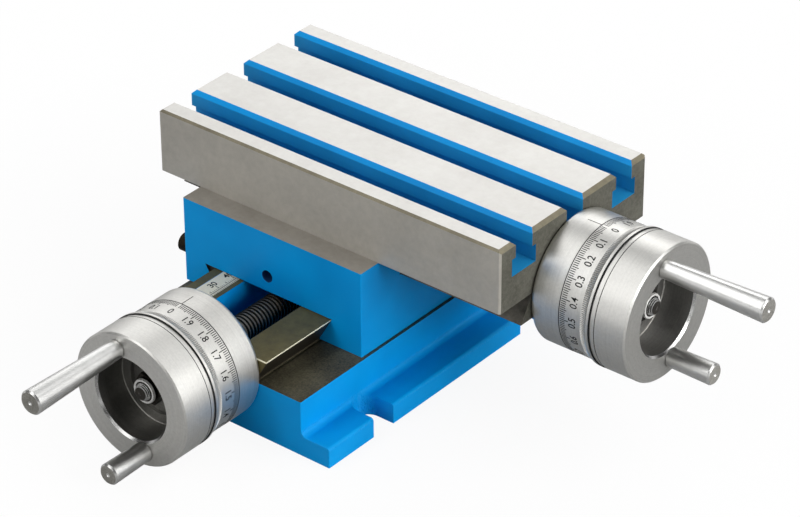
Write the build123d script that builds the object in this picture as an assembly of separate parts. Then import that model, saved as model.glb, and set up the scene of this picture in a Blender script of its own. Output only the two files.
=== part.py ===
from build123d import *
from math import cos, pi, radians, sin, tan
import os

# Cross slide table with a T-slotted top.
# +X runs along the table towards the X handwheel, +Y away from the Y handwheel, +Z up.
# The origin is on the bench, under the middle of the saddle at rest. Millimetres.

# Fits
way_play = 0.05            # between two surfaces that slide on each other
turn_play = 0.05           # radial, between a turning shaft and its bore
end_play = 0.05            # along a screw, at its thrust washers
way_head_gap = 0.5         # over the top of a male dovetail
dial_gap = 0.2             # between bearing housing and dial ring
dovetail_angle = 60        # degrees, of every dovetail side
overrun = 1.0              # how far an open cut runs past a surface

# Base casting
base_length = 172.0
base_left = 47.6           # body's left side from the middle of the rails
base_right = 51.1          # body's right side, a wider wall
way_height = 26.6          # bench to the ways on the base
rail_top_width = 66.0      # over both rails, at the top of the dovetail
rail_height = 12.0
base_channel_width = 32.0  # between the two rails
relief_width = 2.0         # groove in the way at the foot of the dovetail
relief_depth = 1.0
flange_width = 15.0        # each side
flange_height = 9.6
flange_fillet = 3.0        # where the flange meets the wall
flange_lip_round = 1.5     # along the flange's upper edge
edge_round = 0.4           # other outer edges of the painted castings
notch_width = 13.0         # open bolt notch in the flange
notch_inset = 35.5         # notch centre from either end of the base

# Saddle casting
saddle_width = 99.0        # along X
saddle_depth = 122.7       # along Y
saddle_height = 41.35
saddle_reading = 41.5      # base front to saddle front, as the scale reads at rest
front_hole_diameter = 5.8
front_hole_depth = 8.0
front_hole_offset = -2.4   # from the saddle's middle
front_hole_height = 19.9   # above the ways

# Gibs and their screws
gib_thickness = 4.0
gib_end_gap = 1.0
gib_edge_gap = 0.4
gib_screw_pitch = 48.0     # between neighbours in a row of three
gib_screw_rise = 8.0       # from the sliding surface, into the dovetail
gib_screw_reach = 12.8     # outer end of the head from the saddle's face
gib_tip_diameter = 3.5
gib_tip_depth = 1.2
gib_tip_play = 0.2

# Table casting
table_length = 186.0
table_width = 100.0
table_thickness = 30.4
table_offset = 20.5        # table's middle from the saddle's middle, at rest
keel_height = 12.4
keel_width = 71.3          # at the bottom of the dovetail
table_channel_width = 32.0
slot_count = 3
slot_pitch = 34.3
slot_throat = 11.1
slot_chamfer = 1.75
slot_throat_depth = 7.6
slot_head_width = 16.0
slot_head_height = 8.2
end_chamfer = 1.7          # top edges at the two ends
side_chamfer = 1.0         # top edges along the two sides
corner_chamfer = 0.8       # upright corners

# Leadscrews, nuts and bearings
screw_diameter = 12.0
screw_pitch = 2.0          # travel for one turn of a handwheel
x_screw_drop = 4.5         # X screw axis below the table's underside
y_screw_rise = 4.7         # Y screw axis above the base ways
x_screw_end_gap = 9.9      # from the table's left end
y_screw_length = 139.0     # behind the base's front face
screw_end_chamfer = 1.0
journal_diameter = 9.9
spindle_diameter = 8.0     # the screw's end that carries the handwheel
flange_diameter = 15.0     # thrust flange on the screw
flange_thickness = 3.0
washer_thickness = 1.0     # thrust washers
bush_wall = 2.0
nut_length = 40.0
nut_side_gap = 1.0         # between feed nut and channel wall
nut_reach = 9.0            # feed nut beyond the screw axis
nut_end_gap = 3.0          # between feed nut and channel floor
nut_screw_side = 10.6      # nut screws from the leadscrew axis
nut_screw_along = 13.0
nut_screw_depth = 7.0      # into the saddle

# Bearing housings
housing_radius = 29.8
x_housing_length = 14.4
y_housing_length = 13.4
housing_round = 2.0        # on the edge towards the casting
housing_screw_circle = 20.5
housing_screw_angles = (52, 128, -6, 186)  # degrees from sideways, towards the solid metal
housing_screw_depth = 12.0

# Dial ring and handwheel, measured outwards from the housing's outer face
dial_radius = 29.7
dial_rim_radius = 30.9
dial_length = 15.6
dial_rim_width = 1.3
dial_flare_length = 3.1
hub_radius = 22.0
wheel_start = 16.3
wheel_end = 34.0
wheel_radius = 30.85
wheel_step_width = 2.4
wheel_step_depth = 0.3
wheel_edge = 0.7
cup_radius = 19.1
cup_depth = 15.6
cup_floor_radius = 14.5    # second, deeper step of the cup
cup_floor_depth = 17.6
cup_lip = 0.5
key_width = 3.0
key_height = 3.0
key_length = 9.0
key_seat = 1.8             # depth in the spindle
key_start = 4.2
wheel_washer_diameter = 16.0
wheel_washer_thickness = 1.6
wheel_nut_width = 13.0
wheel_nut_height = 6.0
wheel_nut_chamfer = 1.2
nut_collar_height = 2.0    # round locking collar on top of the nut
nut_collar_radius = 5.6
spindle_proud = 2.0        # spindle end beyond the locking collar

# Handles, pressed into the rim of each handwheel
handle_circle = 23.6
x_handle_turn = 9.0        # degrees from straight up, towards the front
y_handle_turn = 15.4       # degrees from straight up, towards the left
long_handle_length = 50.5
long_handle_base = 4.15
long_handle_tip = 5.5
short_handle_length = 21.8
short_handle_base = 4.5
short_handle_tip = 4.85
handle_edge = 0.5
spigot_radius = 3.0
spigot_length = 10.0

# Dial spring, in a flat milled on the hub
spring_seat_depth = 2.0
spring_span = 12.0
spring_width = 4.0
spring_strip = 0.5
spring_gap = 0.3

# Scale on the left rail
scale_width = 9.2
scale_length = 70.0
scale_thickness = 0.5
scale_side = 23.3          # from the base's middle to the strip's middle
scale_recess = 0.6
scale_side_gap = 0.1
scale_pin_radius = 0.9
scale_pin_inset = 3.0
scale_pin_depth = 3.0

# Worked-out heights
tan_angle = tan(radians(dovetail_angle))
sin_angle = sin(radians(dovetail_angle))
play_across = way_play / sin_angle
gib_across = gib_thickness / sin_angle
rail_top = way_height + rail_height
scale_seat = rail_top - scale_recess
saddle_bottom = way_height + way_play
saddle_top = saddle_bottom + saddle_height
table_bottom = saddle_top + way_play
table_top = table_bottom + table_thickness
keel_bottom = table_bottom - keel_height
x_axis_height = table_bottom - x_screw_drop
y_axis_height = way_height + y_screw_rise
lower_groove_roof = rail_top + way_head_gap
upper_groove_floor = keel_bottom - way_head_gap
base_channel_floor = y_axis_height - nut_reach - nut_end_gap
table_channel_roof = x_axis_height + nut_reach + nut_end_gap

# Worked-out places along X and Y
base_front = -saddle_depth / 2 - saddle_reading
base_back = base_front + base_length
table_left = table_offset - table_length / 2
table_right = table_offset + table_length / 2
y_middle = base_front + base_length / 2
screw_radius = screw_diameter / 2
spindle_radius = spindle_diameter / 2
journal_radius = journal_diameter / 2
bush_bore = journal_radius + turn_play
bush_radius = bush_bore + bush_wall
hub_start = end_play + washer_thickness
cup_floor = wheel_end - cup_floor_depth
spindle_end = (cup_floor + wheel_washer_thickness + wheel_nut_height
               + nut_collar_height + spindle_proud)


# Helpers

def block(across, along, up):
    """Box between two limits on each of X, Y and Z."""
    low = (Align.MIN, Align.MIN, Align.MIN)
    size = Box(across[1] - across[0], along[1] - along[0], up[1] - up[0], align=low)
    return Pos(across[0], along[0], up[0]) * size


def prism_x(points, start, end):
    """Outline in Y and Z, run along X."""
    outline = Plane.YZ.offset(start) * make_face(Polyline(*points, close=True))
    return extrude(outline, end - start)


def prism_y(points, start, end):
    """Outline in X and Z, run along Y."""
    outline = Plane.XZ.offset(-end) * make_face(Polyline(*points, close=True))
    return extrude(outline, end - start)


def turned(points):
    """Solid of revolution about Z from an outline of radius and height."""
    return revolve(Plane.XZ * make_face(Polyline(*points, close=True)), Axis.Z)


def rod(radius, start, end):
    """Cylinder about Z between two heights."""
    upwards = (Align.CENTER, Align.CENTER, Align.MIN)
    return Pos(0, 0, start) * Cylinder(radius, end - start, align=upwards)


def ring(outer, inner, start, end):
    """Tube about Z between two heights."""
    return rod(outer, start, end) - rod(inner, start, end)


def hex_bar(across_flats, start, end):
    """Hexagonal bar about Z between two heights."""
    corner = across_flats / 2 / cos(pi / 6)
    return extrude(Plane.XY.offset(start) * RegularPolygon(corner, 6), end - start)


def cap_screw(diameter, under_head, head_diameter, head_height, socket):
    """Socket cap screw about Z: underside of the head at 0, head above, shank below."""
    screw = rod(head_diameter / 2, 0, head_height) + rod(diameter / 2, -under_head, 0)
    return screw - hex_bar(socket, head_height / 2, head_height)


def rail_side(height):
    """Half width of the base's male dovetail at a height above the bench."""
    return rail_top_width / 2 - (rail_top - height) / tan_angle


def keel_side(height):
    """Half width of the table's male dovetail at a height above the bench."""
    return keel_width / 2 - (height - keel_bottom) / tan_angle


def facing(point, away):
    """Placement whose local Z points along a unit direction from a point."""
    return Plane(origin=point, z_dir=away).location


# Screw sizes: diameter, head diameter, head height, socket across flats
housing_screw = (4.0, 7.0, 4.0, 3.0)
feed_nut_screw = (4.0, 7.0, 4.0, 3.0)
gib_screw = (5.0, 8.5, 5.0, 4.0)
counterbore_gap = 0.3
clearance_hole = 0.3
gib_nut_width = 8.0
gib_nut_height = 4.0

gib_rows = [-gib_screw_pitch, 0, gib_screw_pitch]
y_gib_height = way_height + gib_screw_rise
x_gib_height = table_bottom - gib_screw_rise
y_gib_back = rail_side(y_gib_height) + play_across + gib_across
x_gib_back = keel_side(x_gib_height) + play_across + gib_across

# Housing screw places, across and up from the axis. The Y housing is the same part upside down.
x_housing_places = [
    (housing_screw_circle * cos(radians(angle)), housing_screw_circle * sin(radians(angle)))
    for angle in housing_screw_angles
]
y_housing_places = [(-across, -up) for across, up in x_housing_places]

# Local frames of the two drives, on the housings' outer faces: local Z runs outwards, local Y is up
x_drive = Plane(origin=(table_right + x_housing_length, 0, x_axis_height),
                x_dir=(0, 1, 0), z_dir=(1, 0, 0)).location
y_drive = Plane(origin=(0, base_front - y_housing_length, y_axis_height),
                x_dir=(1, 0, 0), z_dir=(0, -1, 0)).location


# Base

def make_base_casting():
    left, right = -base_left, base_right
    flange_left, flange_right = left - flange_width, right + flange_width
    outline = [
        (flange_left, 0), (flange_right, 0), (flange_right, flange_height),
        (right, flange_height), (right, way_height),
        (rail_side(way_height), way_height), (rail_side(rail_top), rail_top),
        (-rail_side(rail_top), rail_top), (-rail_side(way_height), way_height),
        (left, way_height), (left, flange_height), (flange_left, flange_height),
    ]
    face = make_face(Polyline(*outline, close=True))
    for wall, outer in ((left, flange_left), (right, flange_right)):
        foot = face.vertices().sort_by_distance((wall, flange_height, 0))[0]
        face = fillet(foot, flange_fillet)
        lip = face.vertices().sort_by_distance((outer, flange_height, 0))[0]
        face = fillet(lip, flange_lip_round)
    body = extrude(Plane.XZ.offset(-base_back) * face, base_length)
    ends = body.faces().sort_by(Axis.Y)
    painted = [edge for end in (ends[0], ends[-1]) for edge in end.edges()
               if not left + edge_round < edge.center().X < right - edge_round
               and edge.center().Z > edge_round]
    body = fillet(painted, edge_round)

    half_channel = base_channel_width / 2
    body -= block((-half_channel, half_channel), (base_front, base_back),
                  (base_channel_floor, rail_top + overrun))
    for side, wall in ((-1, left), (1, right)):
        root = side * rail_side(way_height)
        relief = sorted((root, root + side * relief_width))
        body -= block(relief, (base_front, base_back), (way_height - relief_depth, way_height))
        for place in (base_front + notch_inset, base_back - notch_inset):
            depth = flange_height + flange_fillet
            half_notch = notch_width / 2
            inner = wall + side * half_notch
            outer = wall + side * (flange_width + overrun)
            body -= Pos(inner, place, 0) * rod(half_notch, 0, depth)
            body -= block(sorted((inner, outer)), (place - half_notch, place + half_notch), (0, depth))

    half_recess = scale_width / 2 + scale_side_gap
    body -= block((-scale_side - half_recess, -scale_side + half_recess),
                  (base_front, base_front + scale_length + scale_side_gap), (scale_seat, rail_top + overrun))
    for place in scale_pin_places():
        body -= Pos(-scale_side, place, scale_seat) * rod(scale_pin_radius, -scale_pin_depth, 0)
    tapped = rod(housing_screw[0] / 2, -housing_screw_depth, 0)
    for across, up in y_housing_places:
        body -= y_drive * Pos(across, up, -y_housing_length) * tapped
    return body


def scale_pin_places():
    return (base_front + scale_pin_inset, base_front + scale_length - scale_pin_inset)


def make_scale_strip():
    strip = block((-scale_side - scale_width / 2, -scale_side + scale_width / 2),
                  (base_front, base_front + scale_length), (scale_seat, scale_seat + scale_thickness))
    for place in scale_pin_places():
        strip -= Pos(-scale_side, place, scale_seat) * rod(scale_pin_radius, 0, scale_thickness)
    return strip


def make_scale_pins():
    return [Pos(-scale_side, place, scale_seat) * rod(scale_pin_radius, -scale_pin_depth, scale_thickness)
            for place in scale_pin_places()]


# Saddle

def make_saddle_casting():
    front, back = -saddle_depth / 2, saddle_depth / 2
    left, right = -saddle_width / 2, saddle_width / 2
    body = block((left, right), (front, back), (saddle_bottom, saddle_top))
    body = fillet(body.edges().filter_by(Axis.Z), edge_round)

    def lower(height, gib):
        return rail_side(height) + play_across + gib

    def upper(height, gib):
        return keel_side(height) + play_across + gib

    body -= prism_y([(-lower(saddle_bottom, gib_across), saddle_bottom),
                     (lower(saddle_bottom, 0), saddle_bottom),
                     (lower(lower_groove_roof, 0), lower_groove_roof),
                     (-lower(lower_groove_roof, gib_across), lower_groove_roof)], front, back)
    body -= prism_x([(-upper(saddle_top, 0), saddle_top),
                     (-upper(upper_groove_floor, 0), upper_groove_floor),
                     (upper(upper_groove_floor, gib_across), upper_groove_floor),
                     (upper(saddle_top, gib_across), saddle_top)], left, right)

    hole = facing((front_hole_offset, front, way_height + front_hole_height), (0, -1, 0))
    body -= hole * rod(front_hole_diameter / 2, -front_hole_depth, 0)
    tapped = gib_screw[0] / 2
    for place in gib_rows:
        body -= facing((left, place, y_gib_height), (-1, 0, 0)) * rod(tapped, y_gib_back + left - tapped, 0)
        body -= facing((place, back, x_gib_height), (0, 1, 0)) * rod(tapped, x_gib_back - back - tapped, 0)
    for across, along in nut_screw_places():
        body -= Pos(along, across, upper_groove_floor) * rod(feed_nut_screw[0] / 2, -nut_screw_depth, 0)
        body -= Pos(across, along, lower_groove_roof) * rod(feed_nut_screw[0] / 2, 0, nut_screw_depth)
    return body


def nut_screw_places():
    """Across and along the leadscrew, on one diagonal of the nut."""
    return [(nut_screw_side, nut_screw_along), (-nut_screw_side, -nut_screw_along)]


def gib_outline(side_at, low, high, direction):
    """Sheared strip that lies against one side of a male dovetail."""
    inner = [(direction * (side_at(z) + play_across), z) for z in (low, high)]
    outer = [(direction * (side_at(z) + play_across + gib_across), z) for z in (high, low)]
    return inner + outer


def make_y_gib():
    outline = gib_outline(rail_side, saddle_bottom + gib_edge_gap, lower_groove_roof - gib_edge_gap, -1)
    half = saddle_depth / 2 - gib_end_gap
    gib = prism_y(outline, -half, half)
    for place in gib_rows:
        gib -= facing((-y_gib_back, place, y_gib_height), (-1, 0, 0)) * rod(
            gib_tip_diameter / 2 + gib_tip_play, -gib_tip_depth, gib_thickness)
    return gib


def make_x_gib():
    outline = gib_outline(keel_side, upper_groove_floor + gib_edge_gap, saddle_top - gib_edge_gap, 1)
    half = saddle_width / 2 - gib_end_gap
    gib = prism_x(outline, -half, half)
    for place in gib_rows:
        gib -= facing((place, x_gib_back, x_gib_height), (0, 1, 0)) * rod(
            gib_tip_diameter / 2 + gib_tip_play, -gib_tip_depth, gib_thickness)
    return gib


def gib_adjuster(wall):
    """Screw and lock nut about Z, with the saddle's face at 0 and the gib's back a wall's depth below."""
    diameter, head_diameter, head_height, socket = gib_screw
    under_head = gib_screw_reach - head_height
    screw = Pos(0, 0, under_head) * cap_screw(diameter, under_head + wall - gib_tip_diameter / 2,
                                              head_diameter, head_height, socket)
    screw += rod(gib_tip_diameter / 2, gib_tip_play - wall - gib_tip_depth, -wall + gib_tip_diameter / 2)
    nut = hex_bar(gib_nut_width, 0, gib_nut_height) - rod(diameter / 2, 0, gib_nut_height)
    return screw, nut


def make_gib_adjusters():
    """Screws and nuts of the Y gib, then of the X gib."""
    y_screw, y_nut = gib_adjuster(saddle_width / 2 - y_gib_back)
    x_screw, x_nut = gib_adjuster(saddle_depth / 2 - x_gib_back)
    y_places = [facing((-saddle_width / 2, place, y_gib_height), (-1, 0, 0)) for place in gib_rows]
    x_places = [facing((place, saddle_depth / 2, x_gib_height), (0, 1, 0)) for place in gib_rows]
    return ([at * y_screw for at in y_places], [at * y_nut for at in y_places],
            [at * x_screw for at in x_places], [at * x_nut for at in x_places])


def feed_nut(seat):
    """Nut block about a leadscrew along X, with the axis at 0 and the saddle a seat's depth below."""
    width = table_channel_width - 2 * nut_side_gap
    height = nut_reach + seat
    body = block((-nut_length / 2, nut_length / 2), (-width / 2, width / 2), (-seat, nut_reach))
    body -= Rot(0, 90, 0) * Cylinder(screw_radius + turn_play, nut_length)
    diameter, head_diameter, head_height, socket = feed_nut_screw
    screws = []
    for across, along in nut_screw_places():
        at = Pos(along, across, nut_reach - head_height - counterbore_gap)
        body -= at * rod(diameter / 2 + clearance_hole, -height, 0)
        body -= at * rod(head_diameter / 2 + counterbore_gap, 0, nut_reach)
        screws.append(at * cap_screw(diameter, height - head_height - counterbore_gap + nut_screw_depth,
                                     head_diameter, head_height, socket))
    return body, screws


def make_feed_nuts():
    x_nut, x_screws = feed_nut(x_axis_height - upper_groove_floor)
    y_nut, y_screws = feed_nut(lower_groove_roof - y_axis_height)
    x_at = Pos(0, 0, x_axis_height)
    y_at = Plane(origin=(0, 0, y_axis_height), x_dir=(0, 1, 0), z_dir=(0, 0, -1)).location
    return (x_at * x_nut, [x_at * screw for screw in x_screws],
            y_at * y_nut, [y_at * screw for screw in y_screws])


# Table

def make_table_casting():
    half = table_width / 2
    outline = [
        (-half, table_bottom), (-keel_side(table_bottom), table_bottom),
        (-keel_side(keel_bottom), keel_bottom), (keel_side(keel_bottom), keel_bottom),
        (keel_side(table_bottom), table_bottom), (half, table_bottom),
        (half, table_top - side_chamfer), (half - side_chamfer, table_top),
        (-half + side_chamfer, table_top), (-half, table_top - side_chamfer),
    ]
    body = prism_x(outline, table_left, table_right)
    for end, inward in ((table_left, 1), (table_right, -1)):
        body -= prism_y([(end, table_top - end_chamfer), (end + inward * end_chamfer, table_top),
                         (end, table_top)], -half, half)
        for side in (-1, 1):
            corner = Plane.XY.offset(table_bottom) * make_face(Polyline(
                (end, side * half), (end + inward * corner_chamfer, side * half),
                (end, side * (half - corner_chamfer)), close=True))
            body -= extrude(corner, table_thickness)

    half_channel = table_channel_width / 2
    body -= block((table_left, table_right), (-half_channel, half_channel),
                  (keel_bottom - overrun, table_channel_roof))
    throat, head = slot_throat / 2, slot_head_width / 2
    head_top = table_top - slot_throat_depth
    head_floor = head_top - slot_head_height
    for number in range(slot_count):
        middle = (number - (slot_count - 1) / 2) * slot_pitch
        right_half = [(throat + slot_chamfer, table_top), (throat, table_top - slot_chamfer),
                      (throat, head_top), (head, head_top), (head, head_floor)]
        left_half = [(-y, z) for y, z in reversed(right_half)]
        slot = [(middle + y, z) for y, z in right_half + left_half]
        body -= prism_x(slot, table_left, table_right)
    tapped = rod(housing_screw[0] / 2, -housing_screw_depth, 0)
    for across, up in x_housing_places:
        body -= x_drive * Pos(across, up, -x_housing_length) * tapped
    return body


# Drives: every piece is built about Z, with the housing's outer face at 0

def make_housing(length, places):
    body = rod(housing_radius, -length, 0)
    back = body.edges().filter_by(GeomType.CIRCLE).sort_by(Axis.Z)[0]
    body = fillet(back, housing_round)
    body -= rod(bush_radius, -length, 0)
    diameter, head_diameter, head_height, socket = housing_screw
    seat = -head_height - counterbore_gap
    shank = length + seat
    screws = []
    for across, up in places:
        at = Pos(across, up, seat)
        body -= at * rod(diameter / 2 + clearance_hole, -shank, 0)
        body -= at * rod(head_diameter / 2 + counterbore_gap, 0, -seat)
        screws.append(at * cap_screw(diameter, shank + housing_screw_depth,
                                     head_diameter, head_height, socket))
    return body, screws


def make_leadscrew(length, housing_length):
    far = -housing_length - length
    flange_start = -housing_length - end_play - washer_thickness - flange_thickness
    outline = [
        (0, far), (screw_radius - screw_end_chamfer, far), (screw_radius, far + screw_end_chamfer),
        (screw_radius, flange_start), (flange_diameter / 2, flange_start),
        (flange_diameter / 2, flange_start + flange_thickness),
        (journal_radius, flange_start + flange_thickness),
        (journal_radius, hub_start), (spindle_radius, hub_start),
        (spindle_radius, spindle_end - spindle_proud / 2),
        (spindle_radius - spindle_proud / 2, spindle_end), (0, spindle_end),
    ]
    return turned(outline) - key_block()


def key_block():
    low = spindle_radius - key_seat
    middle = Pos(0, low + key_height / 2, key_start + key_length / 2)
    return middle * Box(key_width, key_height, key_length)


def make_thrust_washers(housing_length):
    behind = -housing_length - end_play
    inner = ring(flange_diameter / 2, journal_radius + turn_play, behind - washer_thickness, behind)
    outer = ring(flange_diameter / 2, journal_radius + turn_play, hub_start - washer_thickness, hub_start)
    return [inner, outer]


def make_handwheel(turn):
    step = wheel_radius - wheel_step_depth
    outline = [
        (spindle_radius, hub_start), (hub_radius, hub_start),
        (hub_radius, wheel_start), (step, wheel_start),
        (step, wheel_start + wheel_step_width),
        (wheel_radius, wheel_start + wheel_step_width + wheel_step_depth),
        (wheel_radius, wheel_end - wheel_edge), (wheel_radius - wheel_edge, wheel_end),
        (cup_radius + cup_lip, wheel_end), (cup_radius, wheel_end - cup_lip),
        (cup_radius, wheel_end - cup_depth), (cup_floor_radius, wheel_end - cup_depth),
        (cup_floor_radius, cup_floor), (spindle_radius, cup_floor),
    ]
    wheel = turned(outline)
    key_top = spindle_radius - key_seat + key_height
    wheel -= Pos(0, key_top / 2, (hub_start + cup_floor) / 2) * Box(key_width, key_top, cup_floor - hub_start)
    seat = hub_radius - spring_seat_depth
    wheel -= Pos(0, -seat - spring_seat_depth, dial_middle()) * Box(
        2 * hub_radius, 2 * spring_seat_depth, spring_width + 2 * turn_play)
    for x, y in handle_places(turn):
        wheel -= Pos(x, y, 0) * rod(spigot_radius, wheel_end - spigot_length, wheel_end)
    return wheel


def handle_places(turn):
    """The long handle's place on the wheel's face, then the short one's, opposite."""
    angle = radians(turn)
    x, y = -handle_circle * sin(angle), handle_circle * cos(angle)
    return [(x, y), (-x, -y)]


def make_handle(place, length, base, tip):
    outline = [
        (0, wheel_end - spigot_length), (spigot_radius, wheel_end - spigot_length),
        (spigot_radius, wheel_end), (base, wheel_end),
        (tip, wheel_end + length - handle_edge), (tip - handle_edge, wheel_end + length),
        (0, wheel_end + length),
    ]
    return Pos(place[0], place[1], 0) * turned(outline)


def make_wheel_nut():
    start = cup_floor + wheel_washer_thickness
    top = start + wheel_nut_height
    nut = hex_bar(wheel_nut_width, start, top) & turned([
        (0, start), (wheel_nut_width, start),
        (wheel_nut_width / 2 + wheel_nut_chamfer, top - wheel_nut_chamfer / 2),
        (wheel_nut_width / 2, top), (0, top)])
    nut += rod(nut_collar_radius, top, top + nut_collar_height)
    return nut - rod(spindle_radius, start, top + nut_collar_height)


def dial_middle():
    return dial_gap + dial_length / 2


def make_dial_ring():
    end = dial_gap + dial_length
    rim_start = end - dial_rim_width
    flare_start = rim_start - dial_flare_length
    bore = hub_radius + turn_play
    outline = Polyline((bore, end), (bore, dial_gap), (dial_radius, dial_gap),
                       (dial_radius, flare_start))
    outline += TangentArc((dial_radius, flare_start), (dial_rim_radius, rim_start), tangent=(0, 1))
    outline += Polyline((dial_rim_radius, rim_start), (dial_rim_radius, end), (bore, end))
    return revolve(Plane.XZ * make_face(outline), Axis.Z)


def make_dial_spring():
    seat = hub_radius - spring_seat_depth
    rise = spring_seat_depth + turn_play - spring_gap - spring_strip
    half = spring_span / 2
    lower = ThreePointArc((-half, 0), (0, rise), (half, 0))
    upper = ThreePointArc((half, spring_strip), (0, rise + spring_strip), (-half, spring_strip))
    outline = lower + Line((half, 0), (half, spring_strip)) + upper + Line((-half, spring_strip), (-half, 0))
    strip = extrude(make_face(outline), spring_width)
    return Pos(0, -seat, dial_middle() - spring_width / 2) * Rot(0, 0, 180) * strip


def make_drive(axis, at, housing_length, screw_length, places, turn):
    """All pieces about one leadscrew, named by their axis and set in place."""
    housing, screws = make_housing(housing_length, places)
    long_place, short_place = handle_places(turn)
    washer = ring(wheel_washer_diameter / 2, spindle_radius, cup_floor, cup_floor + wheel_washer_thickness)
    pieces = {
        "bearing_housing": housing,
        "bearing_bush": ring(bush_radius, bush_bore, -housing_length, 0),
        "housing_screws": screws,
        "leadscrew": make_leadscrew(screw_length, housing_length),
        "thrust_washers": make_thrust_washers(housing_length),
        "handwheel": make_handwheel(turn),
        "wheel_key": key_block(),
        "wheel_washer": washer,
        "wheel_nut": make_wheel_nut(),
        "long_handle": make_handle(long_place, long_handle_length, long_handle_base, long_handle_tip),
        "short_handle": make_handle(short_place, short_handle_length, short_handle_base, short_handle_tip),
        "dial_ring": make_dial_ring(),
        "dial_spring": make_dial_spring(),
    }
    placed = {}
    for name, piece in pieces.items():
        several = isinstance(piece, list)
        placed[axis + "_" + name] = [at * p for p in piece] if several else at * piece
    return placed


def make_all():
    y_gib_screws, y_gib_nuts, x_gib_screws, x_gib_nuts = make_gib_adjusters()
    x_feed_nut, x_feed_nut_screws, y_feed_nut, y_feed_nut_screws = make_feed_nuts()
    nodes = {
        "base_casting": make_base_casting(),
        "y_scale_strip": make_scale_strip(),
        "y_scale_pins": make_scale_pins(),
        "saddle_casting": make_saddle_casting(),
        "y_gib": make_y_gib(),
        "y_gib_screws": y_gib_screws,
        "y_gib_nuts": y_gib_nuts,
        "x_gib": make_x_gib(),
        "x_gib_screws": x_gib_screws,
        "x_gib_nuts": x_gib_nuts,
        "x_feed_nut": x_feed_nut,
        "x_feed_nut_screws": x_feed_nut_screws,
        "y_feed_nut": y_feed_nut,
        "y_feed_nut_screws": y_feed_nut_screws,
        "table_casting": make_table_casting(),
    }
    nodes.update(make_drive("x", x_drive, x_housing_length, table_length - x_screw_end_gap,
                            x_housing_places, x_handle_turn))
    nodes.update(make_drive("y", y_drive, y_housing_length, y_screw_length, y_housing_places, y_handle_turn))
    return nodes


os.makedirs("parts", exist_ok=True)
for name, shape in make_all().items():
    solids = shape if isinstance(shape, list) else [shape]
    flat = [solid for piece in solids for solid in piece.solids()]
    export_step(flat[0] if len(flat) == 1 else Compound(children=flat), "parts/" + name + ".step")
    print(name, len(flat), "solids", round(sum(solid.volume for solid in flat), 1), "mm3")
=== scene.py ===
# %% [markdown]
# # Dressing a cross slide table
#
# The construction model already has every piece in its place. This lesson gives those pieces their
# looks: paint, ground iron, turned aluminium, and the fine detail that a machinist would look for,
# such as the dial's graduations and the leadscrew's thread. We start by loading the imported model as
# a fixed frame. Everything below is in metres, in that frame, and nothing in it is moved.

# %% Load the frame
import math
import bmesh
import bpy
from mathutils import Matrix, Vector


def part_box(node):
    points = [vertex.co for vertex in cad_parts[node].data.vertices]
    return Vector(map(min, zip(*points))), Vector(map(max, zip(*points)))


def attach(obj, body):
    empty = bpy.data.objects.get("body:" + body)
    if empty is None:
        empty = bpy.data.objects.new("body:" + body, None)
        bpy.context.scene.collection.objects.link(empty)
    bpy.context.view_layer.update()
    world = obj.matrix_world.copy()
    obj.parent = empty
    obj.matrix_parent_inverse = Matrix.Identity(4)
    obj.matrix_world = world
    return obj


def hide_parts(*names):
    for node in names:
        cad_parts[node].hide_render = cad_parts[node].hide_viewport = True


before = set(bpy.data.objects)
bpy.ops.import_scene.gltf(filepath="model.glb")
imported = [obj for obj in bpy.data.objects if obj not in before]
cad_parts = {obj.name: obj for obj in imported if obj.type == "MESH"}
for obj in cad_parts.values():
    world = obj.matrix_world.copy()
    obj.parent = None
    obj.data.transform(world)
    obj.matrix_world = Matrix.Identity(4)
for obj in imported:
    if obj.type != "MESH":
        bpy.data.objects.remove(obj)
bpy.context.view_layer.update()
scene = bpy.context.scene
mm = 0.001

# %% [markdown]
# ## Measures taken from the frame
#
# Each handwheel, dial and housing is turned about one axis. It is easiest to draw such pieces about
# an upright axis and then lay them down, so each drive gets a placement: local Z runs outwards from
# the housing's outer face, local Y is up, and local X lies sideways.

# %% Two drives and the heights of the slides


def drive_placement(housing, across, outwards):
    low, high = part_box(housing)
    middle = (low + high) / 2
    reach = Vector([h if o > 0 else l for l, h, o in zip(low, high, outwards)])
    out = Vector(outwards)
    origin = middle + out * (reach - middle).dot(out)
    columns = Matrix((across, (0, 0, 1), outwards)).transposed()
    return Matrix.Translation(origin) @ columns.to_4x4()


drives = {
    "x": drive_placement("x_bearing_housing", (0, 1, 0), (1, 0, 0)),
    "y": drive_placement("y_bearing_housing", (1, 0, 0), (0, -1, 0)),
}
base_low, base_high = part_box("base_casting")
saddle_low, saddle_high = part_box("saddle_casting")
table_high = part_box("table_casting")[1]
way_height = saddle_low.z - 0.05 * mm
rail_top = base_high.z
for axis, place in drives.items():
    print(axis, "drive starts at", [round(v / mm, 2) for v in place.translation])

# %% [markdown]
# ## Materials
#
# A procedural material is a small machine: texture nodes read the object's own coordinates and
# steer the colour, the roughness and a fine bump. A few helpers keep the recipes short. Numbers that
# are the same all over are set on the shader's own sockets.

# %% Helpers for materials


def new_material(name, metallic=0.0, roughness=0.5, specular=0.5):
    material = bpy.data.materials.new(name)
    material.use_nodes = True
    tree = material.node_tree
    shader = tree.nodes["Principled BSDF"]
    shader.inputs["Metallic"].default_value = metallic
    shader.inputs["Roughness"].default_value = roughness
    shader.inputs["Specular IOR Level"].default_value = specular
    return material, tree, shader


def add(tree, kind, settings=None, **values):
    """A node with its sockets set by name, or by number as in i0, to a value or another node's socket."""
    made = tree.nodes.new(kind)
    for key, value in (settings or {}).items():
        setattr(made, key, value)
    for key, value in values.items():
        numbered = key[0] == "i" and key[1:].isdigit()
        socket = made.inputs[int(key[1:]) if numbered else key.replace("_", " ")]
        if isinstance(value, bpy.types.NodeSocket):
            tree.links.new(value, socket)
        else:
            socket.default_value = value
    return made


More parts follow.
